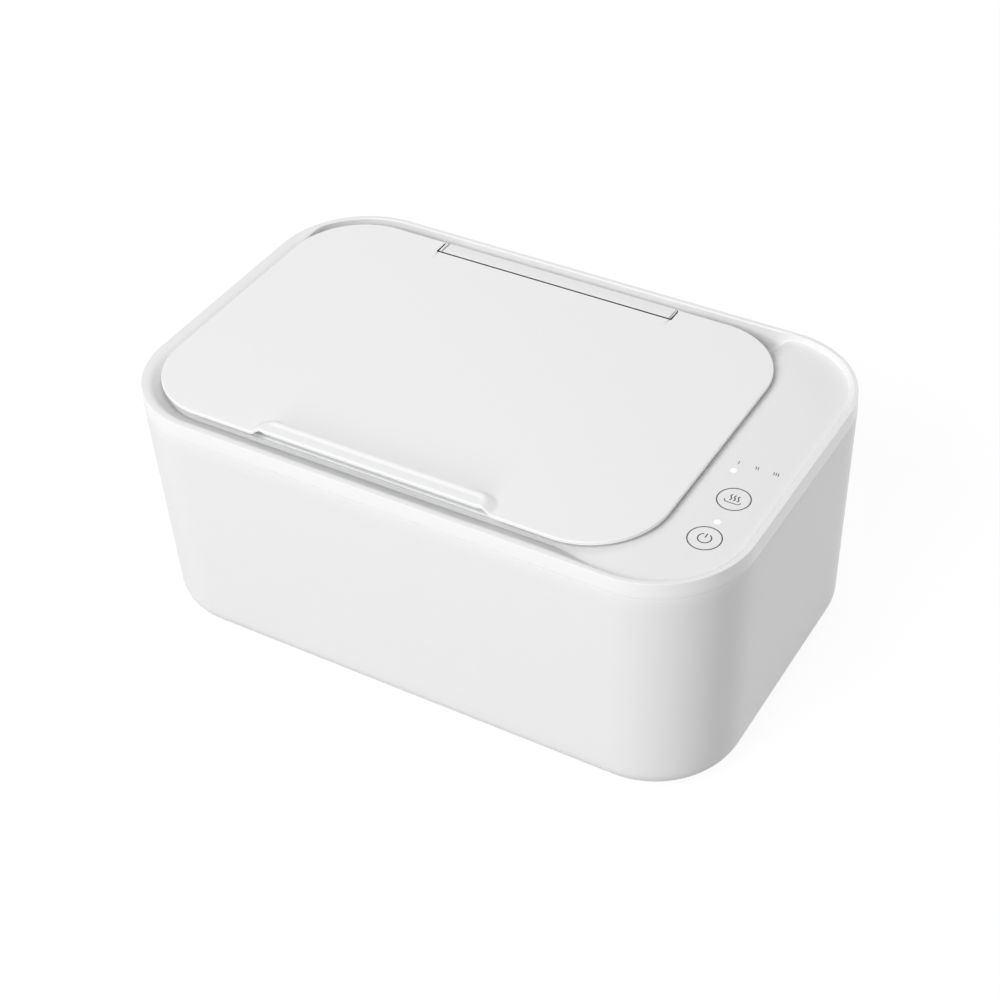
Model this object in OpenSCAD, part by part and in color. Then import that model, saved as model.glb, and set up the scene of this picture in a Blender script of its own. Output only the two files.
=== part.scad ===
// Baby wipe warmer: a drafted tub with a moulded top frame, a hinged lid over a heated tank,
// and a touch panel on the right. Millimetres, +Z up, front towards -Y, feet on z = 0.

/* [Body] */
// Width of the body at the parting line
body_w = 240; // [220:1:280]
// Depth of the body at the parting line
body_d = 150; // [140:1:180]
// Radius of the four upright corners at the parting line
corner_r = 36; // [30:1:42]
// Height of the outer shell, from its underside to the parting line
shell_h = 92.5; // [80:0.5:120]
// How far each side leans in from the parting line to the underside
draft = 2.5; // [0.5:0.5:4]
// Radius that rounds the bottom edge
bottom_round = 10; // [6:1:12]
// Wall of the outer shell
shell_wall = 2.5; // [2:0.1:3]
// Thickness of the ledge round the underside
ledge_t = 5; // [4:0.5:7]
// Height of the lap joint between shell and top frame
lap_h = 6; // [4:0.5:8]

/* [Rim, deck and trough] */
// Height of the rim above the parting line
rim_h = 6.5; // [5:0.5:9]
// Thickness of the rim at its crest
rim_wall = 2.2; // [1.8:0.1:3]
// Radius on both edges of the crest
crest_round = 1; // [0.4:0.1:1]
// How far the control deck lies below the crest
deck_drop = 2.5; // [1.5:0.1:4]
// Thickness of the deck and of the trough floor
deck_t = 2.2; // [1.8:0.1:3]
// How far the trough floor lies below the crest
trough_drop = 9; // [8.7:0.1:10.5]
// Length of the front ramp from the trough up to the deck
ramp_l = 30; // [15:1:34]
// Length of the short ramp behind the lid
back_ramp_l = 8; // [4:0.5:9]
// Radius of the fillet between deck and rim
deck_fillet = 1.6; // [0.8:0.1:2]

/* [Lid] */
// Gap in plan from the body's left side to the lid
lid_side = 5.8; // [5:0.1:8]
// Gap in plan from the body's front and back to the lid
lid_end = 6.6; // [5.6:0.1:9]
// Width of the control strip to the right of the lid
strip_w = 32; // [28:1:40]
// Corner radius of the lid
lid_r = 30; // [20:1:36]
// Thickness of the lid
lid_t = 2; // [1.8:0.1:2.5]
// Radius that rounds the lid's top edge
lid_edge = 0.9; // [0.4:0.1:1.2]
// How far the lid stands above the rim
lid_proud = 0.3; // [0:0.1:1]
// Width of the raised finger lip in the front edge
lip_w = 97; // [60:1:120]
// Height of the lip above the lid
lip_h = 2.6; // [1.5:0.1:3.5]
// Distance that the lip's edge stands back from the lid's front edge
lip_back = 0.5; // [0:0.1:1.5]
// Run of the slanted ends of the lip
lip_slant = 3.2; // [2:0.1:6]
// Width of the flat strip along the lip's edge
strip_d = 6.4; // [4:0.1:9]
// Height of the ridge behind the strip
ridge_h = 0.5; // [0.2:0.1:0.8]
// Length of the hollow slope that sweeps up to the ridge
sweep_l = 28; // [15:1:35]
// How far the lip and the hinge lie to the right of the lid's middle
centre_shift = 1.5; // [0:0.1:3]

/* [Hinge] */
// Length of the fixed hinge bar
bar_l = 98.4; // [80:0.2:110]
// Thickness of the hinge bar from front to back
bar_t = 6.4; // [5.6:0.1:6.8]
// Gap between the bar and the lid's cut-out
bar_gap = 0.6; // [0.5:0.1:1]
// Depth of the pin's axis below the lid's top face
axis_drop = 3.2; // [3.2:0.1:3.8]
// Distance from the pin's axis to the lid's back edge
axis_in = 3.9; // [3.4:0.1:4.2]
// Gap between each end of the bar and the lid
bar_side = 1.5; // [0.5:0.1:2]
// Outer radius of the lid's hinge ears
ear_r = 3; // [2.6:0.1:3.4]
// Length of each ear, and of the bore in each end of the bar
ear_l = 7; // [5:0.5:9]
// Radius of the hinge pins
pin_r = 1.25; // [1:0.05:1.5]
// Radial running clearance of the pins in the bar
pin_fit = 0.05; // [0.02:0.01:0.1]

/* [Tank and heater] */
// Gap in plan from the body's left side to the tank's outer wall
tank_side = 13; // [12.5:0.5:16]
// Gap in plan from the body's front to the tank's outer wall
tank_front = 15; // [14:0.5:20]
// Gap in plan from the body's back to the tank's outer wall
tank_back = 18; // [18:0.5:24]
// Gap in plan from the lid's right edge to the tank's outer wall
tank_right = 9; // [8:0.5:14]
// Corner radius of the tank
tank_r = 24; // [16:1:28]
// Wall of the tank
tank_wall = 2; // [1.5:0.1:2.5]
// How far the tank's walls lean in towards its floor
tank_draft = 3; // [1:0.5:5]
// Width of the tank's hanging flange
flange_w = 3; // [2:0.1:3.2]
// Thickness of the heat spreader
spreader_t = 1.2; // [0.8:0.1:2]
// Thickness of the heating film
film_t = 0.8; // [0.5:0.1:1.5]
// Thickness of the insulation under the film
pad_t = 6; // [3:0.5:10]

/* [Controls] */
// Distance from the body's right side to the middle of the touch rings
ring_in = 17.4; // [16:0.1:20]
// Distance from the body's middle forward to the heat ring
heat_y = 18.9; // [17:0.1:22]
// Distance from the body's middle forward to the power ring
power_y = 41.1; // [40:0.1:44]
// Distance from the body's middle forward to the row of level lights
level_y = 5.3; // [4:0.1:7]
// Distance from the body's middle forward to the power light
power_light_y = 31.9; // [30.5:0.1:33]
// Spacing of the level lights
level_pitch = 6.9; // [6:0.1:7.5]
// Skin of the deck left over each light guide
skin_t = 0.4; // [0.3:0.1:0.6]
// Radius of each light guide
guide_r = 0.8; // [0.6:0.1:1]
// Outer radius of the touch springs
spring_r = 4.5; // [3:0.1:5]
// Height of the touch springs
spring_h = 8; // [6:0.5:12]
// Wire radius of the touch springs
wire_r = 0.4; // [0.3:0.05:0.5]
// Thickness of the control board
board_t = 1.6; // [1:0.1:2]

/* [Base] */
// Thickness of the bottom cover
cover_t = 2.5; // [2:0.1:3]
// Height of the ribs on the bottom cover
rib_h = 5; // [3:0.5:8]
// Height of the feet below the cover
foot_h = 1.5; // [1:0.1:3]
// Radius of the feet
foot_r = 7; // [5:0.5:9]
// Distance from the body's right side to the power socket
jack_in = 58; // [54:1:70]
// Height of the power socket above the cover
jack_up = 16; // [14:1:30]
// Bore radius of the power socket
jack_bore = 2.8; // [2.4:0.1:3]
// Core radius of the small self-tapping screws
screw_r = 1.2; // [1:0.1:1.4]
// Length of thread that a screw drives into its boss
screw_bite = 3.2; // [2.6:0.1:4]

/* [Hidden] */
$fn = 48;
eps = 0.01;
fit = 0.3;
seat = 0.15;

// Heights
base_z = foot_h;
part_z = base_z + shell_h;
crest_z = part_z + rim_h;
deck_z = crest_z - deck_drop;
trough_z = crest_z - trough_drop;
lid_z = crest_z + lid_proud;
under_z = lid_z - lid_t;
axis_z = lid_z - axis_drop;
cover_z = base_z + cover_t;
pad_z = cover_z + rib_h;
film_z = pad_z + pad_t;
spreader_z = film_z + film_t;
tank_z = spreader_z + spreader_t;
collar_h = 3;
collar_z = trough_z + collar_h;
flange_t = 2;
flange_z = collar_z + flange_t;
board_z = deck_z - deck_t - spring_h;

// Plan
lid_x0 = -body_w / 2 + lid_side;
lid_x1 = body_w / 2 - strip_w;
lid_y1 = body_d / 2 - lid_end;
lid_y0 = -lid_y1;
grip_x = (lid_x0 + lid_x1) / 2 + centre_shift;
axis_y = lid_y1 - axis_in;
tank_x0 = -body_w / 2 + tank_side;
tank_x1 = lid_x1 - tank_right;
tank_y0 = -body_d / 2 + tank_front;
tank_y1 = body_d / 2 - tank_back;
tank_cx = (tank_x0 + tank_x1) / 2;
tank_cy = (tank_y0 + tank_y1) / 2;
tank_w = tank_x1 - tank_x0;
tank_d = tank_y1 - tank_y0;
collar_t = 2;
flange_gap = 0.5;
deck_x0 = tank_x1 + flange_w + flange_gap;
ring_x = body_w / 2 - ring_in;
rim_foot = rim_wall + 0.7;
lap_t = shell_wall / 2;
lap_gap = 0.2;
ledge_w = 12;
cover_in = draft + bottom_round + 2;

// A rounded rectangle of true arcs, centred
module rr(w, d, r) {
    square([w - 2 * r, d], center = true);
    square([w, d - 2 * r], center = true);
    for (sx = [-1, 1], sy = [-1, 1]) translate([sx * (w / 2 - r), sy * (d / 2 - r)]) circle(r);
}

// A plate between two heights, with its outline inset from a rounded rectangle
module plate(w, d, r, inset, z0, z1) {
    translate([0, 0, z0]) linear_extrude(z1 - z0) rr(w - 2 * inset, d - 2 * inset, r - inset);
}

// The body's outline, inset, between two heights
module body_plate(inset, z0, z1) {
    plate(body_w, body_d, corner_r, inset, z0, z1);
}

// The tank's outline, grown outwards, between two heights
module tank_plate(grow, z0, z1) {
    translate([tank_cx, tank_cy, 0]) plate(tank_w, tank_d, tank_r, -grow, z0, z1);
}

// A moulding: its profile (x inwards negative, y up) runs round the body's outline
module moulding(w, d, r) {
    for (s = [0, 1]) rotate(180 * s) {
        translate([w / 2, d / 2 - r, 0]) rotate([90, 0, 0]) linear_extrude(d - 2 * r) children();
        rotate(90) translate([d / 2, w / 2 - r, 0]) rotate([90, 0, 0]) linear_extrude(w - 2 * r) children();
        translate([w / 2 - r, d / 2 - r, 0]) rotate_extrude(angle = 90) translate([r, 0]) children();
        translate([r - w / 2, d / 2 - r, 0]) rotate(90) rotate_extrude(angle = 90)
            translate([r, 0]) children();
    }
}

// One ring of points on a rounded rectangle at a height
function ring(w, d, r, z, n = 10) = [for (q = [0:3], i = [0:n])
    let (a = 90 * q + 90 * i / n, sx = q == 0 || q == 3 ? 1 : -1, sy = q < 2 ? 1 : -1)
    [sx * (w / 2 - r) + r * cos(a), sy * (d / 2 - r) + r * sin(a), z]];

// A closed skin through a list of rings, capped at both ends
module loft(rings) {
    m = len(rings[0]);
    last = len(rings) - 1;
    sides = [for (i = [0:last - 1], j = [0:m - 1], h = [0, 1])
        let (k = (j + 1) % m, a = i * m + j, b = a + m, c = (i + 1) * m + k, d = i * m + k)
        h == 0 ? [a, b, c] : [a, c, d]];
    caps = [[for (j = [0:m - 1]) j], [for (j = [m - 1:-1:0]) last * m + j]];
    polyhedron([for (r = rings) each r], concat(sides, caps), convexity = 6);
}

// How far the body's side leans in at a height
function lean(z) = draft * (part_z - z) / shell_h;

// A ring of the shell, inset from the drafted side
function shell_ring(inset, z) = let (s = lean(z) + inset)
    ring(body_w - 2 * s, body_d - 2 * s, corner_r - s, z);

function unit(v) = v / norm(v);

// The way a route runs at one of its points
function heading(points, i) = let (n = len(points) - 1)
    unit((i > 0 ? unit(points[i] - points[i - 1]) : [0, 0, 0])
        + (i < n ? unit(points[i + 1] - points[i]) : [0, 0, 0]));

// A route with each corner cut back and rounded off
function eased(points, cut = 2.5, n = 4) = let (last = len(points) - 1) concat([points[0]],
    [for (i = [1:last - 1]) let (p = points[i], a = p - cut * unit(p - points[i - 1]),
        b = p + cut * unit(points[i + 1] - p)) for (k = [0:n])
            let (t = k / n) (1 - t) * (1 - t) * a + 2 * t * (1 - t) * p + t * t * b],
    [points[last]]);

// A wire: one tube of eight sides along an eased route
module wire(points, r, sides = 8) {
    path = eased(points);
    n = len(path) - 1;
    ref = unit([0.2, 1, 0.45]);
    pts = [for (i = [0:n]) let (t = heading(path, i), u = unit(cross(t, ref)), v = cross(t, u))
        for (k = [0:sides - 1]) let (a = 360 * k / sides) path[i] + r * (cos(a) * u + sin(a) * v)];
    skin = [for (i = [0:n - 1], k = [0:sides - 1], h = [0, 1])
        let (j = (k + 1) % sides, a = i * sides + k, b = a + sides, c = i * sides + j + sides, d = c - sides)
        h == 0 ? [a, b, c] : [a, c, d]];
    ends = [[for (k = [0:sides - 1]) k], [for (k = [sides - 1:-1:0]) n * sides + k]];
    polyhedron(pts, concat(skin, ends), convexity = 6);
}

// A self-tapping screw, head down, driven upwards from the head's seat
module screw(len, head_r = 2.4, head_h = 1.4) {
    translate([0, 0, -head_h]) difference() {
        cylinder(h = head_h, r = head_r);
        translate([0, 0, -eps]) cylinder(h = head_h / 2, r = head_r / 2.6, $fn = 6);
    }
    cylinder(h = len, r = screw_r);
}

// Places that repeat
screw_sink = 1.6;
cover_pts = [for (sx = [-1, 1], sy = [-1, 1])
    [sx * (body_w / 2 - cover_in - 8), sy * body_d / 5]];
foot_x = body_w / 2 - corner_r + 8;
foot_y = body_d / 2 - corner_r + 7;
board_w = 21;
board_y0 = -(power_y + 6);
board_y1 = 12;
board_pts = [[ring_x - 8, board_y0 + 4], [ring_x + 8, board_y0 + 4], [ring_x, board_y1 - 4]];
bar_screw_x = bar_l / 4;
led_pts = [for (i = [-1, 0, 1]) [ring_x + i * level_pitch, -level_y]];
power_led = [ring_x, -power_light_y];
led_h = 0.8;
guide_l = deck_z - skin_t - board_z - led_h;
snap_x = [-body_w / 4, body_w / 4];
snap_w = 14;
snap_h = 2;
snap_t = 0.8;
snap_z = part_z - lap_h - 4;
// Inner face of the shell's long walls where the snaps enter
snap_face = body_d / 2 - lean(snap_z) - shell_wall;
liner_in = tank_wall + 1.5;
liner_t = 1.5;
liner_z = under_z - 4.3;
seal_w = 2.6;
liner_pts = [for (sx = [-1, 1], sy = [-1, 1])
    [tank_cx + sx * (tank_w / 2 - 22), tank_cy + sy * (tank_d / 2 - 22)]];
jack_x = body_w / 2 - jack_in;
jack_z = cover_z + jack_up;
jack_w = 11;
jack_l = 12;
nose_r = 4.2;
nose_l = shell_wall;
jack_face = body_d / 2 - lean(jack_z - jack_w / 2) - shell_wall;

// Tub with a rounded bottom edge, a lap joint at the top and a ledge that holds the cover
module outer_shell() {
    arc = 5;
    inner_r = bottom_round - shell_wall;
    floor_z = base_z + ledge_t;
    lap_z = part_z - lap_h;
    outside = [for (k = [0:arc]) let (a = 90 * k / arc)
        shell_ring(bottom_round * (1 - sin(a)), base_z + bottom_round * (1 - cos(a)))];
    inside = [for (k = [arc:-1:0]) let (a = 90 * k / arc)
        shell_ring(shell_wall + inner_r * (1 - sin(a)), floor_z + inner_r * (1 - cos(a)))];
    color("white") difference() {
        union() {
            loft(concat(outside, [shell_ring(0, part_z), shell_ring(lap_t, part_z),
                shell_ring(lap_t - lean(lap_z), lap_z), shell_ring(shell_wall, lap_z)], inside));
            for (s = [-1, 1]) translate([jack_x + s * 3.5 - 1, jack_face - jack_l + 1, floor_z - 0.5])
                cube([2, jack_l - 1.5, jack_z - jack_w / 2 - floor_z + 0.5]);
        }
        body_plate(cover_in - fit, base_z - eps, cover_z);
        body_plate(cover_in + ledge_w, base_z, base_z + ledge_t + 1);
        for (p = cover_pts) translate([p.x, p.y, base_z]) cylinder(h = ledge_t + 1, r = screw_r);
        translate([jack_x, body_d / 2 + 1, jack_z]) rotate([90, 0, 0]) cylinder(h = 8, r = nose_r + seat);
        for (x = snap_x, s = [-1, 1])
            translate([x - snap_w / 2 - fit, s > 0 ? snap_face - eps : -snap_face - snap_t - seat,
                snap_z - fit])
                cube([snap_w + 2 * fit, snap_t + seat + eps, snap_h + 2 * fit]);
    }
}

// Plate in the underside, with ribs, vents, screw holes and a cradle for the socket
module bottom_cover() {
    slot_l = 26;
    slot_w = 2.4;
    rib_t = 2;
    rib_in = cover_in + ledge_w + 3;
    color("gainsboro") difference() {
        union() {
            body_plate(cover_in, base_z, cover_z);
            for (x = [-2:2]) translate([x * body_w / 7 - rib_t / 2, rib_in - body_d / 2, base_z])
                cube([rib_t, body_d - 2 * rib_in, cover_t + rib_h]);
            for (y = [-1, 1]) translate([rib_in - body_w / 2, y * body_d / 7 - rib_t / 2, base_z])
                cube([body_w - 2 * rib_in, rib_t, cover_t + rib_h]);
        }
        for (p = cover_pts) translate([p.x, p.y, base_z - eps]) {
            cylinder(h = cover_t + 1, r = screw_r + seat);
            cylinder(h = screw_sink + eps, r = 2.6);
        }
        for (i = [-3:3], s = [-1, 1]) translate([s * body_w / 3.5 + i * 6, 0, base_z - eps])
            linear_extrude(cover_t + 2 * eps) {
                square([slot_w, slot_l], center = true);
                for (e = [-1, 1]) translate([0, e * slot_l / 2]) circle(slot_w / 2);
            }
    }
}

// Rubber pad pressed onto the cover
module foot(sx, sy) {
    color("dimgray") translate([sx * foot_x, sy * foot_y, 0]) rotate_extrude()
        polygon([[0, 0], [foot_r - 0.6, 0], [foot_r, 0.6], [foot_r, foot_h], [0, foot_h]]);
}
module foot_front_left() { foot(-1, -1); }
module foot_front_right() { foot(1, -1); }
module foot_rear_left() { foot(-1, 1); }
module foot_rear_right() { foot(1, 1); }

module cover_screws() {
    color("silver") for (p = cover_pts) translate([p.x, p.y, base_z + screw_sink])
        screw(cover_t - screw_sink + screw_bite - 1);
}

// Profile of the rim: crest with two rounded edges, sloping inner face, lap tongue below
module rim_profile() {
    n = 4;
    r = crest_round;
    polygon(concat([[0, part_z]],
        [for (k = [0:n]) let (a = 90 * k / n) [-r + r * cos(a), crest_z - r + r * sin(a)]],
        [for (k = [0:n]) let (a = 90 + 90 * k / n) [-rim_wall + r + r * cos(a), crest_z - r + r * sin(a)]],
        [[-rim_foot, trough_z - deck_t], [-rim_foot, part_z - lap_h + lap_gap],
         [-lap_t - lap_gap, part_z - lap_h + lap_gap], [-lap_t - lap_gap, part_z]]));
}

// Profile of the concave fillet that joins the deck to the rim
module fillet_profile() {
    n = 5;
    r = deck_fillet;
    polygon(concat([[-rim_wall + 0.3, deck_z - 1], [-rim_wall + 0.3, deck_z + r]],
        [for (k = [0:n]) let (a = 90 * k / n) [-rim_wall - r + r * cos(a), deck_z + r - r * sin(a)]],
        [[-rim_wall - r, deck_z - 1]]));
}

// Curved ramp along a channel, from the trough up to the deck
module ramp(y0, y1, length) {
    n = 8;
    rise = deck_z - trough_z;
    top = [for (k = [0:n]) [deck_x0 - length + length * k / n, trough_z + rise * (1 - cos(180 * k / n)) / 2]];
    translate([0, y1, 0]) rotate([90, 0, 0]) linear_extrude(y1 - y0)
        polygon(concat(top, [[deck_x0 + 1, deck_z], [deck_x0 + 1, trough_z - deck_t],
            [deck_x0 - length, trough_z - deck_t]]));
}

// Everything to the right of a line, to keep a piece to the control deck
module right_of(x) {
    intersection() {
        children();
        translate([x, -body_d, 0]) cube([body_w, 2 * body_d, 2 * crest_z]);
    }
}

// Snap tongue below the trough, whose bump enters the pocket in the shell
module snap(x, s) {
    translate([x - snap_w / 2, s > 0 ? snap_face - seat - 1.6 : -snap_face + seat, snap_z])
        cube([snap_w, 1.6, trough_z - 1 - snap_z]);
    translate([x - snap_w / 2, s > 0 ? snap_face - seat - eps : -snap_face - snap_t, snap_z])
        cube([snap_w, snap_t + seat + eps, snap_h]);
}

// Rim, trough, collar and control deck in one moulding
module top_frame() {
    collar_out = fit + collar_t;
    inner = body_d / 2 - rim_foot;
    color("white") difference() {
        union() {
            difference() {
                union() {
                    moulding(body_w, body_d, corner_r) rim_profile();
                    right_of(deck_x0) moulding(body_w, body_d, corner_r) fillet_profile();
                    body_plate(rim_foot - 0.1, trough_z - deck_t, trough_z);
                    right_of(deck_x0) body_plate(rim_wall + 0.1, trough_z - deck_t, deck_z);
                    tank_plate(collar_out, trough_z - deck_t, collar_z);
                    ramp(-inner, tank_y0 + tank_r, ramp_l);
                    ramp(tank_y1 - tank_r, inner, back_ramp_l);
                }
                tank_plate(fit, trough_z - 20, crest_z);
                tank_plate(flange_w + flange_gap, collar_z, crest_z);
                right_of(deck_x0 + deck_t) body_plate(rim_foot + 2, part_z - 20, deck_z - deck_t);
            }
            for (p = board_pts) translate([p.x, p.y, board_z]) cylinder(h = spring_h + 1, r = 2.5);
            for (x = snap_x, s = [-1, 1]) snap(x, s);
        }
        for (p = board_pts) translate([p.x, p.y, board_z - eps]) cylinder(h = spring_h - 1, r = screw_r);
        for (p = concat(led_pts, [power_led])) translate([p.x, p.y, deck_z - deck_t - eps])
            cylinder(h = deck_t - skin_t + eps, r = guide_r + 0.05, $fn = 24);
        for (s = [-1, 1]) translate([grip_x + s * bar_screw_x, axis_y, trough_z - deck_t - eps])
            cylinder(h = deck_t + 1, r = screw_r + seat);
    }
}

// Fixed bar between the lid's ears, with a rounded top and a bore in each end
module hinge_bar() {
    top_r = 2;
    h = lid_z - 0.1 - trough_z;
    color("white") difference() {
        translate([grip_x, axis_y, trough_z]) rotate([90, 0, 90]) linear_extrude(bar_l, center = true) {
            translate([-bar_t / 2, 0]) square([bar_t, h - top_r]);
            translate([top_r - bar_t / 2, 0]) square([bar_t - 2 * top_r, h]);
            for (s = [-1, 1]) translate([s * (bar_t / 2 - top_r), h - top_r]) circle(top_r);
        }
        for (s = [-1, 1]) {
            translate([grip_x + s * bar_l / 2, axis_y, axis_z]) rotate([0, -90 * s, 0])
                translate([0, 0, -1]) cylinder(h = ear_l + 1.5, r = pin_r + pin_fit);
            translate([grip_x + s * bar_screw_x, axis_y, trough_z - eps])
                cylinder(h = screw_bite, r = screw_r);
        }
    }
}

module hinge_bar_screws() {
    color("silver") for (s = [-1, 1])
        translate([grip_x + s * bar_screw_x, axis_y, trough_z - deck_t]) screw(deck_t + screw_bite);
}

// How far the tank's side leans in at a height
function tank_lean(z) = tank_draft * (collar_z - z) / (collar_z - tank_z);

// A ring of the tank, grown from its drafted side
function tank_ring(grow, z) = let (g = grow - tank_lean(min(z, collar_z)))
    [for (p = ring(tank_w + 2 * g, tank_d + 2 * g, tank_r + g, z, 8)) p + [tank_cx, tank_cy, 0]];

// Drafted tub that holds the wipes and hangs on the frame's collar by its flange
module wipes_tank() {
    arc = 4;
    round_r = 6;
    inner_r = round_r - tank_wall;
    floor_z = tank_z + tank_wall;
    outside = [for (k = [0:arc]) let (a = 90 * k / arc)
        tank_ring(-round_r * (1 - sin(a)), tank_z + round_r * (1 - cos(a)))];
    inside = [for (k = [arc:-1:0]) let (a = 90 * k / arc)
        tank_ring(-tank_wall - inner_r * (1 - sin(a)), floor_z + inner_r * (1 - cos(a)))];
    color("whitesmoke") loft(concat(outside, [tank_ring(0, collar_z), tank_ring(flange_w, collar_z),
        tank_ring(flange_w, flange_z), tank_ring(-tank_wall, flange_z)], inside));
}

film_in = tank_draft + 10;
fuse_p = [tank_cx - 10, -2];
sensor_p = [tank_cx + 30, 2];
channel_w = 9;
channel_h = 3;
lead_r = 0.6;
lead_z = film_z - channel_h / 2;
riser_x = tank_x1 + 5;
board_low = board_z - board_t;

// Aluminium plate bonded under the tank's floor
module heat_spreader() {
    color("silver") tank_plate(-film_in + 2, spreader_z, tank_z);
}

// Silicone heating film on the underside of the spreader
module heater_film() {
    color("orange") tank_plate(-film_in, film_z, spreader_z);
}

// Foam pad on the cover's ribs, with a channel for the fuse, the sensor and their leads
module insulation_pad() {
    color("lightgray") difference() {
        tank_plate(-tank_draft - 5, pad_z, film_z);
        translate([fuse_p.x - 12, -channel_w / 2, film_z - channel_h])
            cube([tank_w, channel_w, channel_h + 1]);
        translate([fuse_p.x - 8, fuse_p.y - 2.5, film_z - 5]) cube([16, 5, 6]);
    }
}

module thermal_fuse() {
    color("ivory") translate([fuse_p.x - 6, fuse_p.y, film_z - 2]) rotate([0, 90, 0]) {
        cylinder(h = 12, r = 2);
        translate([0, 0, -2]) cylinder(h = 16, r = lead_r, $fn = 16);
    }
}

module temperature_sensor() {
    color("black") translate([sensor_p.x, sensor_p.y, film_z - 1.5]) {
        sphere(1.5, $fn = 32);
        rotate([0, 90, 0]) cylinder(h = 4, r = 1.2, $fn = 24);
    }
}

lead_x = ring_x - board_w / 2 + 3;

// A lead from the channel, up the gap beside the tank and across to the board's lower face
function riser(x, y, z) = [[x, y, z], [riser_x, y, z], [riser_x, y, board_z - 14], [lead_x, y, board_z - 9],
    [lead_x, y, board_low]];

// One wire from the fuse and one from the film's edge
module heater_leads() {
    color("firebrick") {
        wire(riser(fuse_p.x + 8, fuse_p.y, film_z - 2), lead_r);
        wire(riser(tank_cx + tank_w / 2 - film_in - 3, fuse_p.y - 1.8, film_z - lead_r), lead_r);
    }
}

// Two fine wires from the sensor
module sensor_leads() {
    color("black") for (s = [-1, 1])
        wire(riser(sensor_p.x + 4, sensor_p.y + s * 0.6, film_z - 1.5), 0.4);
}

// Board under the deck, with its chips and plugs on the lower face
module control_board() {
    color("darkgreen") difference() {
        union() {
            translate([ring_x - board_w / 2, board_y0, board_low])
                cube([board_w, board_y1 - board_y0, board_t]);
            translate([ring_x - 3.5, -26, board_low - 1.2]) cube([7, 7, 1.3]);
            translate([ring_x - 8, -14, board_low - 2.4]) cube([6.5, 6, 2.5]);
            translate([ring_x + 2, -12, board_low - 5]) cube([6, 8, 5.1]);
        }
        for (p = board_pts) translate([p.x, p.y, board_low - 1])
            cylinder(h = board_t + 2, r = screw_r + seat);
    }
}

module board_screws() {
    color("silver") for (p = board_pts) translate([p.x, p.y, board_low]) screw(board_t + screw_bite);
}

module indicator_leds() {
    color("lightyellow") for (p = concat(led_pts, [power_led]))
        translate([p.x - 1, p.y - 0.7, board_z]) cube([2, 1.4, led_h]);
}

// Touch spring: one wire wound from the board up to the deck, with a flat turn at each end
module touch_spring(y) {
    turns = 4;
    steps = 12;
    sides = 6;
    n = turns * steps;
    r = spring_r - wire_r;
    span = spring_h - 2 * wire_r;
    path = [for (i = [0:n]) let (a = 360 * i / steps, t = max(0, min(1, (i - steps / 2) / (n - steps))))
        [r * cos(a), r * sin(a), wire_r + span * t]];
    pts = [for (i = [0:n], k = [0:sides - 1]) let (a = 360 * i / steps, b = 360 * k / sides)
        path[i] + wire_r * [cos(a) * cos(b), sin(a) * cos(b), sin(b)]];
    skin = [for (i = [0:n - 1], k = [0:sides - 1], h = [0, 1])
        let (j = (k + 1) % sides, a = i * sides + k, b = i * sides + j, c = b + sides, d = a + sides)
        h == 0 ? [a, b, c] : [a, c, d]];
    ends = [[for (k = [sides - 1:-1:0]) k], [for (k = [0:sides - 1]) n * sides + k]];
    color("gold") translate([ring_x, -y, board_z]) polyhedron(pts, concat(skin, ends), convexity = 8);
}
module heat_touch_spring() { touch_spring(heat_y); }
module power_touch_spring() { touch_spring(power_y); }

// Three clear rods on one web, from the level lights up to the skin of the deck
module level_light_guide() {
    color("lightcyan") {
        for (p = led_pts) translate([p.x, p.y, board_z + led_h])
            cylinder(h = guide_l, r = guide_r, $fn = 24);
        translate([ring_x - level_pitch - 1.5, -level_y - 1, deck_z - deck_t - 2])
            cube([2 * level_pitch + 3, 2, 2]);
    }
}

module power_light_guide() {
    color("lightcyan") translate([power_led.x, power_led.y, 0]) {
        translate([0, 0, board_z + led_h]) cylinder(h = guide_l, r = guide_r, $fn = 24);
        translate([0, 0, deck_z - deck_t - 2]) cylinder(h = 2, r = 1.8, $fn = 24);
    }
}

// Round low-voltage socket in the back wall, with its centre pin
module power_jack() {
    color("black") {
        difference() {
            union() {
                translate([jack_x - jack_w / 2, jack_face - jack_l, jack_z - jack_w / 2])
                    cube([jack_w, jack_l, jack_w]);
                translate([jack_x, jack_face - 1, jack_z]) rotate([-90, 0, 0])
                    cylinder(h = nose_l + 1, r = nose_r);
            }
            translate([jack_x, jack_face - 8, jack_z]) rotate([-90, 0, 0]) cylinder(h = 20, r = jack_bore);
        }
        translate([jack_x, jack_face - 8.5, jack_z]) rotate([-90, 0, 0]) cylinder(h = 8, r = 1, $fn = 24);
    }
}

// Two wires from the socket, round the tank's corner and up to the board
module jack_leads() {
    tail = jack_face - jack_l;
    color("dimgray") for (s = [-1, 1])
        wire([[jack_x + s * 2.5, tail, jack_z + s * 2], [jack_x + s * 2.5, tail - 5 - s, jack_z + s * 2],
            [riser_x + 3, tail - 9 - 2 * s, jack_z + 8 + s * 2], [ring_x - s * 2, board_y1, board_z - 20],
            [ring_x + 6 - s * 1.5, board_y1 - 7, board_z - 10],
            [ring_x + 6 - s * 1.5, board_y1 - 7, board_low]], lead_r);
}

// Profile of the lid's edge, square below and rounded on top
module lid_edge_profile() {
    n = 4;
    polygon(concat([[-2 * lid_t, under_z], [0, under_z]],
        [for (k = [0:n]) let (a = 90 * k / n) [lid_edge * (cos(a) - 1), lid_z + lid_edge * (sin(a) - 1)]],
        [[-2 * lid_t, lid_z]]));
}

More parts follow.
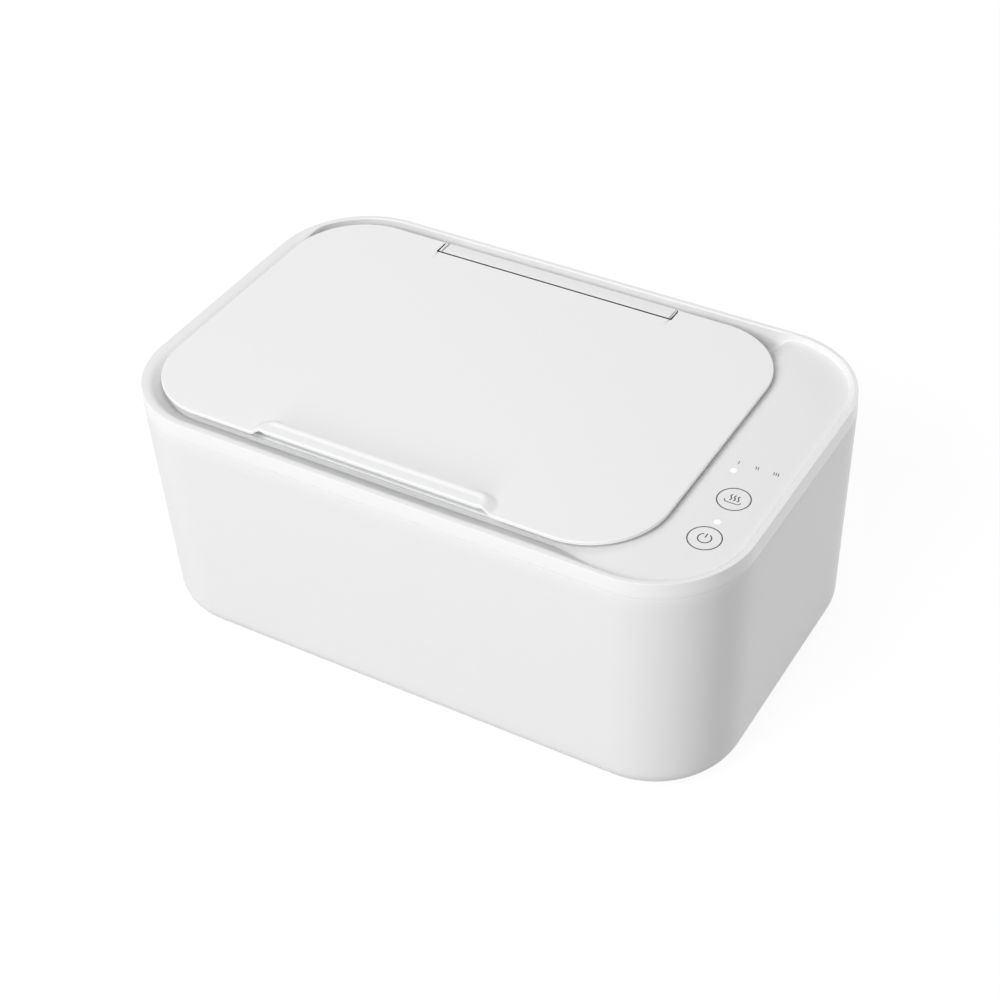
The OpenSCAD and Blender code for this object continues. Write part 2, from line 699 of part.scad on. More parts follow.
// Plate of the lid, with a cut-out for the hinge bar
module lid_plate() {
    w = lid_x1 - lid_x0;
    d = lid_y1 - lid_y0;
    difference() {
        translate([(lid_x0 + lid_x1) / 2, 0, 0]) {
            moulding(w, d, lid_r) lid_edge_profile();
            plate(w, d, lid_r, lid_t, under_z, lid_z);
        }
        translate([grip_x - bar_l / 2 - bar_side, axis_y - bar_t / 2 - bar_gap, under_z - 1])
            cube([bar_l + 2 * bar_side, bar_t + 10, lid_t + 2]);
    }
}

// Side view of the lip's top, from its edge back to the lid, lowered by a drop, over a foot
module lip_side(drop, foot) {
    n = 10;
    top = lid_z - drop;
    strip_y = lid_y0 + lip_back + strip_d;
    sweep = [for (k = [0:n]) let (t = k / n)
        [strip_y + 0.6 + sweep_l * t, top + (lip_h + ridge_h) * (1 - t) * (1 - t)]];
    polygon(concat([[lid_y0 + lip_back, foot], [lid_y0 + lip_back, top + lip_h], [strip_y, top + lip_h]],
        sweep, [[strip_y + 0.6 + sweep_l, foot]]));
}

// Front view of the lip: a low block with slanted ends
module lip_front(inset, foot) {
    h = lip_h + ridge_h + 1;
    run = lip_slant * h / lip_h;
    half = lip_w / 2 - inset;
    translate([grip_x, 0]) polygon([[-half, foot], [-half, lid_z], [run - half, lid_z + h],
        [half - run, lid_z + h], [half, lid_z], [half, foot]]);
}

// The body common to a side view and a front view
module lip_body(drop, inset, foot) {
    intersection() {
        translate([-body_w, 0, 0]) rotate([90, 0, 90]) linear_extrude(2 * body_w) lip_side(drop, foot);
        translate([0, body_d, 0]) rotate([90, 0, 0]) linear_extrude(2 * body_d) lip_front(inset, foot);
    }
}

// Lid with its raised lip, hinge ears and screw bosses
module lid() {
    color("white") difference() {
        union() {
            difference() {
                lid_plate();
                translate([grip_x - lip_w / 2, lid_y0 - 1, under_z - 1])
                    cube([lip_w, lip_back + 1, lid_t + 2]);
            }
            lip_body(0, 0, under_z);
            for (s = [-1, 1]) translate([grip_x + s * (bar_l / 2 + bar_side), axis_y, axis_z])
                rotate([0, 90 * s, 0]) cylinder(h = ear_l, r = ear_r);
            for (p = liner_pts) translate([p.x, p.y, liner_z + liner_t])
                cylinder(h = under_z - liner_z - liner_t + 0.5, r = 2.8);
        }
        translate([0, -eps, 0]) lip_body(lid_t, lid_t, under_z - 1);
        translate([grip_x - bar_l / 2 - ear_l - 2, axis_y, axis_z]) rotate([0, 90, 0])
            cylinder(h = bar_l + 2 * ear_l + 4, r = pin_r);
        for (p = liner_pts) translate([p.x, p.y, liner_z]) cylinder(h = 5, r = screw_r);
    }
}

// Shallow tray under the lid that closes the tank's mouth
module lid_liner() {
    color("whitesmoke") difference() {
        tank_plate(-liner_in, liner_z, under_z);
        tank_plate(-liner_in - liner_t, liner_z + liner_t, under_z + 1);
        for (p = liner_pts) translate([p.x, p.y, liner_z - 1]) cylinder(h = 5, r = screw_r + seat);
    }
}

// Soft ring round the liner that closes on the tank's flange
module lid_seal() {
    color("lightgray") difference() {
        tank_plate(seal_w + 0.5 - liner_in, flange_z + seat, under_z);
        tank_plate(-liner_in, flange_z - 1, under_z + 1);
    }
}

module liner_screws() {
    color("silver") for (p = liner_pts) translate([p.x, p.y, liner_z]) screw(liner_t + screw_bite - 0.4);
}

// Steel pin, pressed into an ear and running in the end of the bar
module hinge_pin(s) {
    color("silver") translate([grip_x + s * (bar_l / 2 + bar_side + ear_l), axis_y, axis_z])
        rotate([0, -90 * s, 0]) cylinder(h = 2 * ear_l, r = pin_r);
}
module hinge_pin_left() { hinge_pin(-1); }
module hinge_pin_right() { hinge_pin(1); }

outer_shell();
bottom_cover();
foot_front_left();
foot_front_right();
foot_rear_left();
foot_rear_right();
cover_screws();
top_frame();
hinge_bar();
hinge_bar_screws();
wipes_tank();
heat_spreader();
heater_film();
insulation_pad();
thermal_fuse();
temperature_sensor();
control_board();
heat_touch_spring();
power_touch_spring();
level_light_guide();
power_light_guide();
indicator_leds();
board_screws();
power_jack();
jack_leads();
heater_leads();
sensor_leads();
lid();
lid_liner();
lid_seal();
liner_screws();
hinge_pin_left();
hinge_pin_right();
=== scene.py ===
import math
import bmesh
import bpy
import numpy as np
from mathutils import Matrix, Vector


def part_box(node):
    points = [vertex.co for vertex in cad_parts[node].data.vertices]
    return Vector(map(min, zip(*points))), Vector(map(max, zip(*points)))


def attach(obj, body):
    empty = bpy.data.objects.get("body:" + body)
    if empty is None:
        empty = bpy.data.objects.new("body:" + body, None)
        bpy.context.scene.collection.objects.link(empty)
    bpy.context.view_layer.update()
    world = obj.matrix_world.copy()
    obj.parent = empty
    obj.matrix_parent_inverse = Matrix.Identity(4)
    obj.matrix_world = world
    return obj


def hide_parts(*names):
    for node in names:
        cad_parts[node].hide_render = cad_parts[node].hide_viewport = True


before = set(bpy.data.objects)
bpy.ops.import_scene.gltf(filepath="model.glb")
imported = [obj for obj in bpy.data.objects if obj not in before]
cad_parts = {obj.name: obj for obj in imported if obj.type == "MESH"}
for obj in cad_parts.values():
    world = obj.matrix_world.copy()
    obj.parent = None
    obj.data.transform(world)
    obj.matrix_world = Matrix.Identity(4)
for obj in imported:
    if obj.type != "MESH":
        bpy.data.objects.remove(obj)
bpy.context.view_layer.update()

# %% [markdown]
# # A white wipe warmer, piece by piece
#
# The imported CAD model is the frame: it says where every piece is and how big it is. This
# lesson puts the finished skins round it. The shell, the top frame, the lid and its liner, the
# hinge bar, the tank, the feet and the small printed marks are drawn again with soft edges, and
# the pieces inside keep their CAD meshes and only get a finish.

# Shapes are in mm: x runs to the right, y to the back, and z up from the table.
MM = 0.001


def size_in_frame(name):
    """A node's box in the frame, in mm: its low corner, then its high corner."""
    low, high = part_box(name)
    return [round(v / MM, 2) for v in (*low, *high)]


shell_x0, shell_y0, BASE_Z, shell_x1, shell_y1, PART_Z = size_in_frame("outer_shell")
BODY_W, BODY_D, CORNER_R = shell_x1 - shell_x0, shell_y1 - shell_y0, 36.0
DRAFT = 2.5
CREST_Z, DECK_Z, TROUGH_Z, LID_Z = 100.5, 98.0, 91.5, 100.8
LID_X0, LID_X1, LID_Y0, LID_Y1 = -113.8, 87.8, -66.3, 67.7
LID_R, LID_T = 29.0, 2.0
GRIP_X = -11.6
AXIS_Y, AXIS_Z = 64.5, 97.6
BAR_L, BAR_Y0, BAR_Y1 = 98.4, 61.9, 68.8
FLANGE_OUT, TANK_R = 3.0, 24.0
tank_x0, tank_y0, TANK_Z, tank_x1, tank_y1, FLANGE_TOP = size_in_frame("wipes_tank")
TANK_X0, TANK_X1 = tank_x0 + FLANGE_OUT, tank_x1 - FLANGE_OUT
TANK_Y0, TANK_Y1 = tank_y0 + FLANGE_OUT, tank_y1 - FLANGE_OUT
DECK_X0 = 82.5
RING_X = 102.6
print("body, mm:", BODY_W, BODY_D, "from", BASE_Z, "to", PART_Z)
print("tank inside its flange, mm:", TANK_X0, TANK_X1, TANK_Y0, TANK_Y1, "from", TANK_Z, "to", FLANGE_TOP)
print("lid in the frame, mm:", size_in_frame("lid"))

# %% [markdown]
# ## Rings and skins
#
# Every moulded piece here runs round the same kind of outline: a rectangle with four round
# corners. So one ring of points is drawn at each step of a section, and a skin of four-sided
# faces joins the rings. All rings of a piece have their points in the same order, and the
# points sit closest where the surface changes most.

# %% Rings and skins
def outline(x0, x1, y0, y1, r, front, back, sides, arc=24):
    """Points round a rounded rectangle, from its front left. front, back and sides are fractions."""
    points = []

    def corner(cx, cy, start):
        for k in range(arc + 1):
            a = math.radians(start + 90 * k / arc)
            points.append((cx + r * math.cos(a), cy + r * math.sin(a)))

    points += [(x0 + r + (x1 - x0 - 2 * r) * t, y0) for t in front]
    corner(x1 - r, y0 + r, -90)
    points += [(x1, y0 + r + (y1 - y0 - 2 * r) * t) for t in sides]
    corner(x1 - r, y1 - r, 0)
    points += [(x1 - r - (x1 - x0 - 2 * r) * t, y1) for t in back]
    corner(x0 + r, y1 - r, 90)
    points += [(x0, y1 - r - (y1 - y0 - 2 * r) * t) for t in sides]
    corner(x0 + r, y0 + r, 180)
    return np.array(points)


def steps(n):
    """n fractions between 0 and 1, without the ends."""
    return [(k + 1) / (n + 1) for k in range(n)]


def at_height(ring, z):
    """A flat ring at one height, or at a height for each point."""
    return np.column_stack([ring, np.broadcast_to(z, len(ring))])


def smooth(t):
    """From 0 to 1 with soft ends."""
    t = np.clip(t, 0, 1)
    return t * t * (3 - 2 * t)


def mesh_piece(name, verts, faces, material=None, sharp=35):
    """A mesh object from points in mm, shaded smooth except over edges steeper than sharp degrees."""
    mesh = bpy.data.meshes.new(name)
    mesh.from_pydata([tuple(MM * float(c) for c in v) for v in verts], [], faces)
    mesh.validate()
    bm = bmesh.new()
    bm.from_mesh(mesh)
    bmesh.ops.remove_doubles(bm, verts=bm.verts, dist=1e-7)
    bmesh.ops.recalc_face_normals(bm, faces=bm.faces)
    bm.to_mesh(mesh)
    bm.free()
    mesh.shade_smooth()
    mesh.set_sharp_from_angle(angle=math.radians(sharp))
    if material:
        mesh.materials.append(material)
    obj = bpy.data.objects.new(name, mesh)
    bpy.context.scene.collection.objects.link(obj)
    return obj


def skin(name, rings, loop=False, material=None, sharp=35):
    """A skin through rings of points.

    With loop, the last ring joins the first. Without, both ends are capped.
    """
    m = len(rings[0])
    verts = np.concatenate(rings)
    faces = []
    for i in range(len(rings) if loop else len(rings) - 1):
        a, b = i * m, ((i + 1) % len(rings)) * m
        for j in range(m):
            k = (j + 1) % m
            faces.append((a + j, a + k, b + k, b + j))
    if not loop:
        faces.append(tuple(range(m - 1, -1, -1)))
        faces.append(tuple((len(rings) - 1) * m + j for j in range(m)))
    return mesh_piece(name, verts, faces, material, sharp)


def quarter(n, r, start):
    """Offsets (across, up) on a quarter circle of radius r, from start degrees on."""
    return [(r * math.cos(math.radians(start + 90 * k / n)), r * math.sin(math.radians(start + 90 * k / n)))
            for k in range(n + 1)]


def report(obj):
    """Prints a piece's size in mm and its count of faces."""
    c = np.array([v.co for v in obj.data.vertices]) / MM
    print(f"{obj.name}: {len(obj.data.polygons)} faces, {c.min(0).round(1)} to {c.max(0).round(1)}")


print("a quarter circle in 4 steps has", len(quarter(4, 1, 0)), "points")

# %% [markdown]
# ## Finishes
#
# The real object is moulded ABS, nearly all of it the same cool white with a satin face: light
# spreads softly and no mirror image shows. Only the rim's outside is polished, with a thin clear
# coat, and its colour is painted a little lighter than the rest of its moulding: a painted
# highlight for the light it catches. A picture of the plastic could be wrapped round it, but a
# plain colour with a little noise needs no unwrapping and stays sharp at any distance. Its grain,
# far smaller than a pixel here, keeps the highlight from looking like glass.

# %% Plastics, rubber and metal
# The grain's depth is in metres, as Blender counts.
GRAIN_SHADE, GRAIN_DEPTH = 0.985, 0.00002


def grey(level):
    """A colour without a hue."""
    return (level, level, level)


def finish(name, colour, rough, metal=0.0, grain=0.0, grain_size=900.0, spec=0.5, glow=None):
    """One procedural material: a Principled surface whose colour and bump carry a little noise."""
    mat = bpy.data.materials.new(name)
    mat.use_nodes = True
    nodes, links = mat.node_tree.nodes, mat.node_tree.links
    shade = nodes["Principled BSDF"]
    shade.inputs["Roughness"].default_value = rough
    shade.inputs["Metallic"].default_value = metal
    shade.inputs["Specular IOR Level"].default_value = spec
    place = nodes.new("ShaderNodeTexCoord")
    noise = nodes.new("ShaderNodeTexNoise")
    noise.inputs["Scale"].default_value = grain_size
    noise.inputs["Detail"].default_value = 2.0
    links.new(place.outputs["Object"], noise.inputs["Vector"])
    ramp = nodes.new("ShaderNodeValToRGB")
    ramp.color_ramp.elements[0].color = (*[c * GRAIN_SHADE for c in colour], 1)
    ramp.color_ramp.elements[1].color = (*colour, 1)
    links.new(noise.outputs["Fac"], ramp.inputs["Fac"])
    links.new(ramp.outputs["Color"], shade.inputs["Base Color"])
    if grain:
        bump = nodes.new("ShaderNodeBump")
        bump.inputs["Strength"].default_value = grain
        bump.inputs["Distance"].default_value = GRAIN_DEPTH
        links.new(noise.outputs["Fac"], bump.inputs["Height"])
        links.new(bump.outputs["Normal"], shade.inputs["Normal"])
    if glow:
        shade.inputs["Emission Color"].default_value = (*glow[0], 1)
        shade.inputs["Emission Strength"].default_value = glow[1]
    return mat


body_white = finish("body white", grey(0.84), rough=0.42, grain=0.15)
frame_white = finish("frame white", grey(0.82), rough=0.40, grain=0.12)
# The band's colour is painted lighter than the frame's, a painted highlight. Its low roughness and clear coat
# are its real polish.
band_painted_lighter = finish("polished band painted lighter", grey(0.90), rough=0.3, grain=0.05)
band_painted_lighter.node_tree.nodes["Principled BSDF"].inputs["Coat Weight"].default_value = 0.3
lid_white = finish("lid white", grey(0.86), rough=0.45, grain=0.15)
inner_white = finish("inner white", (0.80, 0.81, 0.81), rough=0.5, grain=0.2)
cover_white = finish("cover white", grey(0.76), rough=0.6, grain=0.5)
print("white plastics:", body_white.name, frame_white.name, lid_white.name)

# %% [markdown]
# ## The outer shell
#
# The shell is one deep moulding that leans out a little from the bottom to the top, so that it
# leaves its mould, with a soft round under it. A box with a bevel would give the same outside
# but no inside, so it is drawn as a full section: up the outside, over the edge, down the
# inside with the step of the lap joint, and back along the ledge that takes the bottom cover.
# Its top edge stops a hair short of the frame, and that hair shows as the dark line round the
# whole body.

# %% Outer shell
BOTTOM_R, WALL_ROWS, ROW_GAP = 8.5, 9, 6.0
SEAM, EDGE_EASE = 0.05, 0.12
LAP_IN, LAP_Z, WALL = 1.25, PART_Z - 6, 2.5
LEDGE_IN, LEDGE_UNDER, LEDGE_TOP, COVER_IN = 26.5, 4.0, 6.5, 14.2


def body_ring(inset, front=24, arc=24):
    """The body's outline, moved inwards."""
    x, y = BODY_W / 2 - inset, BODY_D / 2 - inset
    return outline(-x, x, -y, y, CORNER_R - inset, steps(front), steps(front), steps(14), arc)


def lean(z):
    """How far the wall has drawn in at a height."""
    return DRAFT * (PART_Z - z) / (PART_Z - BASE_Z)


shell_section = []
for across, up in quarter(14, BOTTOM_R, -90):
    z = BASE_Z + BOTTOM_R + up
    shell_section.append((BOTTOM_R - across + lean(z), z))
for z in np.linspace(BASE_Z + BOTTOM_R + ROW_GAP, PART_Z - ROW_GAP, WALL_ROWS):
    shell_section.append((lean(z), z))
for across, up in quarter(4, EDGE_EASE, 0):
    shell_section.append((EDGE_EASE - across, PART_Z - SEAM - EDGE_EASE + up))
shell_section += [(LAP_IN, PART_Z - SEAM), (LAP_IN, LAP_Z), (WALL + lean(LAP_Z), LAP_Z)]
shell_section += [(inset + lean(z), z) for inset, z in ((WALL, 20), (4.6, 8), (10, LEDGE_TOP))]
shell_section += [(LEDGE_IN - 0.2, LEDGE_TOP), (LEDGE_IN, LEDGE_TOP - 0.2), (LEDGE_IN, LEDGE_UNDER),
                  (COVER_IN + 0.1, LEDGE_UNDER), (COVER_IN, LEDGE_UNDER - 0.1),
                  (COVER_IN, BASE_Z + 0.2), (COVER_IN - 0.2, BASE_Z)]
shell = skin("shell_skin", [at_height(body_ring(i), z) for i, z in shell_section], True, body_white, 32)
report(shell)

# %% [markdown]
# The low-voltage socket looks out through a round hole in the back wall, low down on the
# right. The hole is cut through the finished skin with a plain cylinder.

# %% Hole for the socket
def cut(obj, cutter):
    """Cuts one mesh out of another and removes the cutter."""
    step = obj.modifiers.new("cut", "BOOLEAN")
    step.operation, step.solver, step.object = "DIFFERENCE", "EXACT", cutter
    bpy.context.view_layer.objects.active = obj
    bpy.context.view_layer.update()
    bpy.ops.object.modifier_apply(modifier=step.name)
    bpy.data.objects.remove(cutter)


def rod(name, a, b, r, n=32, material=None):
    """A closed round rod between two points, in mm."""
    a, b = np.array(a, float), np.array(b, float)
    t = (b - a) / np.linalg.norm(b - a)
    u = np.cross(t, (0, 0, 1) if abs(t[2]) < 0.9 else (1, 0, 0))
    u /= np.linalg.norm(u)
    v = np.cross(t, u)
    turn = [2 * math.pi * k / n for k in range(n)]
    return skin(name, [np.array([p + r * (math.cos(q) * u + math.sin(q) * v) for q in turn]) for p in (a, b)],
                material=material)


JACK_X, JACK_Z, JACK_HOLE_R = 62.0, 20.0, 4.35
hole_start, hole_end = [(JACK_X, BODY_D / 2 + way, JACK_Z) for way in (-9, 5)]
cut(shell, rod("socket_cutter", hole_start, hole_end, JACK_HOLE_R, 48))
shell.data.set_sharp_from_angle(angle=math.radians(32))
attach(shell, "base")
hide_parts("outer_shell")
report(shell)

# %% [markdown]
# ## The top frame
#
# The frame is a second moulding that laps into the shell. Its rim stands up all round. Inside
# the rim the surface falls away under the lid's edge, and at the right it climbs in a long soft
# ramp to the control deck. The deck could be a piece of its own, but on the real object no line
# parts it from the rim. So its share of the height is one formula in x and y, which the rings
# follow: low at the left and along the front and back, high at the right.

# %% Share of the deck
FRONT_RAMP, BACK_RAMP = 24.0, 8.0


def share_of_deck(x, y):
    """0 where the floor is low, 1 on the control deck, and a soft ramp between."""
    length = np.where(y < 0, FRONT_RAMP, BACK_RAMP)
    t = np.clip((x - (DECK_X0 - length)) / length, 0, 1)
    return (1 - np.cos(math.pi * t)) / 2


print("share of the deck at the left, on the ramp and on the deck:",
      [round(float(share_of_deck(x, -70)), 2) for x in (-60, 67.5, 100)])

# %% Rings of the frame
FRONT_X = sorted([k / 20 for k in range(1, 16)] + [0.78 + 0.02 * k for k in range(11)])
BACK_X = [1 - t for t in reversed(FRONT_X)]
FRAME_SIDE, FRAME_ARC = 14, 28


def frame_ring(inset):
    """The frame's outline, moved inwards."""
    x, y = BODY_W / 2 - inset, BODY_D / 2 - inset
    return outline(-x, x, -y, y, CORNER_R - inset, FRONT_X, BACK_X, steps(FRAME_SIDE), FRAME_ARC)


def tank_outline(grow):
    """The tank's outline, moved outwards, with as many points as the frame's."""
    return outline(TANK_X0 - grow, TANK_X1 + grow, TANK_Y0 - grow, TANK_Y1 + grow, TANK_R + grow,
                   FRONT_X, BACK_X, steps(FRAME_SIDE), FRAME_ARC)


def varied_ring(insets, heights):
    """A ring whose inset and height differ from point to point."""
    outer, inner = frame_ring(0), frame_ring(10)
    t = (np.asarray(insets) / 10)[:, None]
    return np.column_stack([outer * (1 - t) + inner * t, heights])


print("points in a ring of the frame:", len(frame_ring(0)))

# %% Tongue and rim
TONGUE_OUT, TONGUE_IN, TONGUE_Z = 1.45, 2.9, 88.2
RIM_TILT, CREST_OUT, CREST_IN = 0.25, 0.2, 1.8
seam_z = PART_Z + SEAM
rings = [at_height(frame_ring(TONGUE_IN), TONGUE_Z), at_height(frame_ring(TONGUE_OUT), TONGUE_Z),
         at_height(frame_ring(TONGUE_OUT), seam_z), at_height(frame_ring(0.6), seam_z)]
for across, up in quarter(4, EDGE_EASE, -90):
    rings.append(at_height(frame_ring(EDGE_EASE - across), seam_z + EDGE_EASE + up))
for t in (0.3, 0.6, 0.9):
    rings.append(at_height(frame_ring(RIM_TILT * t), PART_Z + (CREST_Z - CREST_OUT - PART_Z) * t))
for across, up in quarter(6, CREST_OUT, 0):
    rings.append(at_height(frame_ring(RIM_TILT + CREST_OUT - across), CREST_Z - CREST_OUT + up))
print("rings from the tongue to the crest:", len(rings))

# %% [markdown]
# Inside the crest the section changes as it goes round. At the front and the left it rolls over
# into a slope that runs under the lid. Behind, it is a wall with room for the lid's edge to
# swing down. At the right it drops a little way to the deck. Three pieces would show a seam
# where they meet, so there is one skin, and each point of a ring mixes the three sections by
# its own shares.

# %% Slope, wall and step
RAMP_STEPS, EASE_STEPS, FOOT_STEP = 12, 6, 9
FLOOR_Z = 96.65
STEEP = math.radians(31)
ROLL_FRONT, ROLL_LEFT = 3.2, 4.3
SLOPE_REACH, SLOPE_CROWD = 7.2, 1.15
WALL_EASE, WALL_LEAN, WALL_DROP = 0.5, 0.2, 3.4
WALL_FOOT, WALL_FILLET = 1.0, 1.2
STEP_W, STEP_LESS_BEHIND = 3.0, 2.7
BEHIND_Y, BEHIND_L = 44.0, 12.0

place = frame_ring(5)
facing = frame_ring(0) - frame_ring(10)
facing /= np.linalg.norm(facing, axis=1)[:, None]
behind = smooth((place[:, 1] - BEHIND_Y) / BEHIND_L)
deck_share = share_of_deck(place[:, 0], place[:, 1])
roll = ROLL_FRONT + ROLL_LEFT * np.clip(-facing[:, 0], 0, 1) ** 2


def slope_drop(d):
    """How far the slope lies under the crest at a distance inside it."""
    turn_end = roll * math.sin(STEEP)
    curved = roll - np.sqrt(np.maximum(roll ** 2 - np.minimum(d, turn_end) ** 2, 0))
    return curved + np.maximum(d - turn_end, 0) * math.tan(STEEP)


def wall_point(k):
    """Inset and height of the wall at a step: its ease, its straight and the fillet at its foot."""
    if k <= EASE_STEPS:
        a = math.radians(90 * k / EASE_STEPS)
        return CREST_IN + WALL_EASE * math.sin(a), CREST_Z - WALL_EASE * (1 - math.cos(a))
    if k < FOOT_STEP:
        down = k - EASE_STEPS
        return CREST_IN + WALL_EASE + WALL_LEAN * down, CREST_Z - WALL_EASE - WALL_DROP * down
    a = math.radians(90 * (k - FOOT_STEP) / (RAMP_STEPS - FOOT_STEP))
    foot = CREST_IN + WALL_FOOT
    return foot + WALL_FILLET * (1 - math.cos(a)), TROUGH_Z + WALL_FILLET * (1 - math.sin(a))


for k in range(RAMP_STEPS + 1):
    d = SLOPE_REACH * (k / RAMP_STEPS) ** SLOPE_CROWD
    slope_in, slope_z = CREST_IN + d, np.maximum(CREST_Z - slope_drop(d), FLOOR_Z)
    wall_in, wall_z = wall_point(k)
    step_in = CREST_IN + (STEP_W - STEP_LESS_BEHIND * np.clip(facing[:, 1], 0, 1)) * k / RAMP_STEPS
    step_z = DECK_Z + (CREST_Z - DECK_Z) * (1 - smooth(k / (RAMP_STEPS - 1)))
    low_in = slope_in * (1 - behind) + wall_in * behind
    low_z = slope_z * (1 - behind) + wall_z * behind
    rings.append(varied_ring(low_in * (1 - deck_share) + step_in * deck_share,
                             low_z * (1 - deck_share) + step_z * deck_share))
print("lowest point of the slope at the front and of the wall:", FLOOR_Z, round(float(low_z.min()), 2))

# %% [markdown]
# The floor runs in to the flange's recess. At the front and the left it lies level with the top
# of the flange, so that no edge shows in the gap round the lid. Then it drops to the collar,
# which holds the tank, and the section closes along the underside.

# %% Floor, collar and underside
FLOOR_STEPS, RECESS = 10, 3.5
COLLAR_OUT, COLLAR_IN, COLLAR_Z = 2.2, 0.3, 94.5
COLLAR_EASE, UNDER_FRAME_Z = 0.1, 89.3
edge = rings[-1]
low_end = FLOOR_Z * (1 - behind) + TROUGH_Z * behind
for k in range(1, FLOOR_STEPS + 1):
    t = k / FLOOR_STEPS
    plan = edge[:, :2] * (1 - t) + tank_outline(RECESS) * t
    share = share_of_deck(plan[:, 0], plan[:, 1])
    recess_z = (low_z * (1 - t) + low_end * t) * (1 - share) + DECK_Z * share
    rings.append(at_height(plan, recess_z))
below = recess_z - 0.15
collar_top = np.where(recess_z > COLLAR_Z, COLLAR_Z, below)
for grow, z in ((RECESS - 0.2, recess_z - 0.12), (RECESS - 0.25, np.minimum(below, COLLAR_Z)),
                (COLLAR_OUT + COLLAR_EASE, collar_top),
                (COLLAR_OUT, COLLAR_Z - COLLAR_EASE), (COLLAR_OUT - COLLAR_EASE, COLLAR_Z),
                (COLLAR_IN + COLLAR_EASE, COLLAR_Z), (COLLAR_IN, COLLAR_Z - COLLAR_EASE),
                (COLLAR_IN, UNDER_FRAME_Z), (COLLAR_OUT + COLLAR_EASE, UNDER_FRAME_Z)):
    rings.append(at_height(tank_outline(grow), z))
rings.append(at_height(frame_ring(5), UNDER_FRAME_Z))
rings.append(at_height(frame_ring(TONGUE_IN), UNDER_FRAME_Z - 0.1))
top_frame = skin("frame_skin", rings, True, frame_white, 40)
report(top_frame)

# %% [markdown]
# The outside of the rim is polished, and its colour is painted lighter as a painted highlight. It
# is the same moulding, so it isn't a skin of its own: the faces that stand upright on the outline
# only take the second material.

# %% Polished band, painted lighter
BAND_DEPTH = 0.8
top_frame.data.materials.append(band_painted_lighter)


def depth_inside(x, y):
    """How far a point lies inside the outline, for a point of the back right quarter."""
    cx, cy = x - BODY_W / 2 + CORNER_R, y - BODY_D / 2 + CORNER_R
    if cx > 0 and cy > 0:
        return CORNER_R - math.hypot(cx, cy)
    return min(BODY_W / 2 - x, BODY_D / 2 - y)


# The upright faces of the band take the colour that is painted lighter, a painted highlight.
for face in top_frame.data.polygons:
    x, y, z = (abs(c) / MM for c in face.center)
    upright = abs(face.normal.z) < 0.3 and PART_Z < z < CREST_Z - CREST_OUT / 2
    if upright and depth_inside(x, y) < BAND_DEPTH:
        face.material_index = 1
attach(top_frame, "base")
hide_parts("top_frame")
print("faces of the band:", sum(face.material_index for face in top_frame.data.polygons))

# %% [markdown]
# ## The lid
#
# The lid is a thin flat plate with round corners. Two things change its edge: a finger lip at
# the front, pressed up out of the plate, and a cut-out at the back for the hinge bar. Behind
# the lip the plate sweeps up in a long hollow to a fine ridge. The lip could be modelled by
# hand and the cut-out made with a cutter, but a formula for the height keeps the plate in one
# skin of clean faces, with its points crowded together round the lip and its ridge.

# %% Height of the lip
LIP_HALF, LIP_H, RIDGE_H = 44.6, 2.05, 0.4
LIP_BACK, STRIP_D, SWEEP_L = 0.2, 5.0, 29.0
PAD_R, PAD_SLOPE = 3.6, 4.4
PAD_D = STRIP_D + 0.6
RIDGE_IN, RIDGE_W = 2.0, 1.7
SWEEP_OUT, SWEEP_SIDE = 2.0, 9.0


def pad_distance(x, u):
    """Distance outside the lip's footprint, which has two round corners behind.

    u is measured from the lip's edge.
    """
    dx = np.maximum(np.abs(x - GRIP_X) - (LIP_HALF - PAD_R), 0)
    du = np.maximum(u - (PAD_D - PAD_R), 0)
    inside = np.maximum(np.abs(x - GRIP_X) - LIP_HALF, u - PAD_D)
    outer = np.hypot(dx, du) - PAD_R
    return np.where((dx > 0) | (du > 0), outer, inside)


def lip_height(x, y):
    """Height of the lid's top above its flat plane."""
    u = y - LID_Y0 - LIP_BACK
    q = pad_distance(x, u)
    ridge = RIDGE_H * smooth((q + RIDGE_IN) / RIDGE_W)
    pad = (LIP_H + ridge) * (1 - smooth(q / PAD_SLOPE))
    t = np.clip((u - PAD_D) / SWEEP_L, 0, 1)
    side = smooth((LIP_HALF + SWEEP_OUT - np.abs(x - GRIP_X)) / SWEEP_SIDE)
    sweep = np.where(u > STRIP_D + 0.2, (LIP_H + RIDGE_H) * (1 - t) ** 3 * side, 0)
    return np.maximum(pad, sweep)


print("lip at its edge, ridge and half way down the sweep:",
      [round(float(lip_height(np.array(GRIP_X), np.array(y))), 2) for y in (-65, -61.2, -47)])

# %% Points along the lid's edge
CUT_X0, CUT_X1 = GRIP_X - BAR_L / 2 - 0.6, GRIP_X + BAR_L / 2 + 0.6
CUT_Y = BAR_Y0 - 0.2
CUT_WALL_POINTS = 5
LID_SIDE, LID_ARC = 26, 24


def spaced(*stops):
    """Places from stops of (start, end, step)."""
    out = []
    for a, b, s in stops:
        out += list(np.arange(a, b - 1e-6, s))
    return out


straight0, straight1 = LID_X0 + LID_R, LID_X1 - LID_R
straight = straight1 - straight0
front_places = spaced((straight0 + 2, -66, 2), (-66, -50, 0.4), (-50, 27, 2), (27, 43, 0.4),
                      (43, straight1 - 1, 2))
back_places = spaced((straight0 + 2, CUT_X0 - 2, 2)) + [CUT_X0 - 0.6]
back_places += [CUT_X0] * CUT_WALL_POINTS + [CUT_X0 + 0.6]
back_places += spaced((CUT_X0 + 2, CUT_X1 - 2, 3)) + [CUT_X1 - 0.6]
back_places += [CUT_X1] * CUT_WALL_POINTS + [CUT_X1 + 0.6]
back_places += spaced((CUT_X1 + 2, straight1 - 1, 2))
FRONT = [(x - straight0) / straight for x in front_places]
BACK = [(straight1 - x) / straight for x in reversed(back_places)]
print("points along the lid's front and back:", len(FRONT), len(BACK))

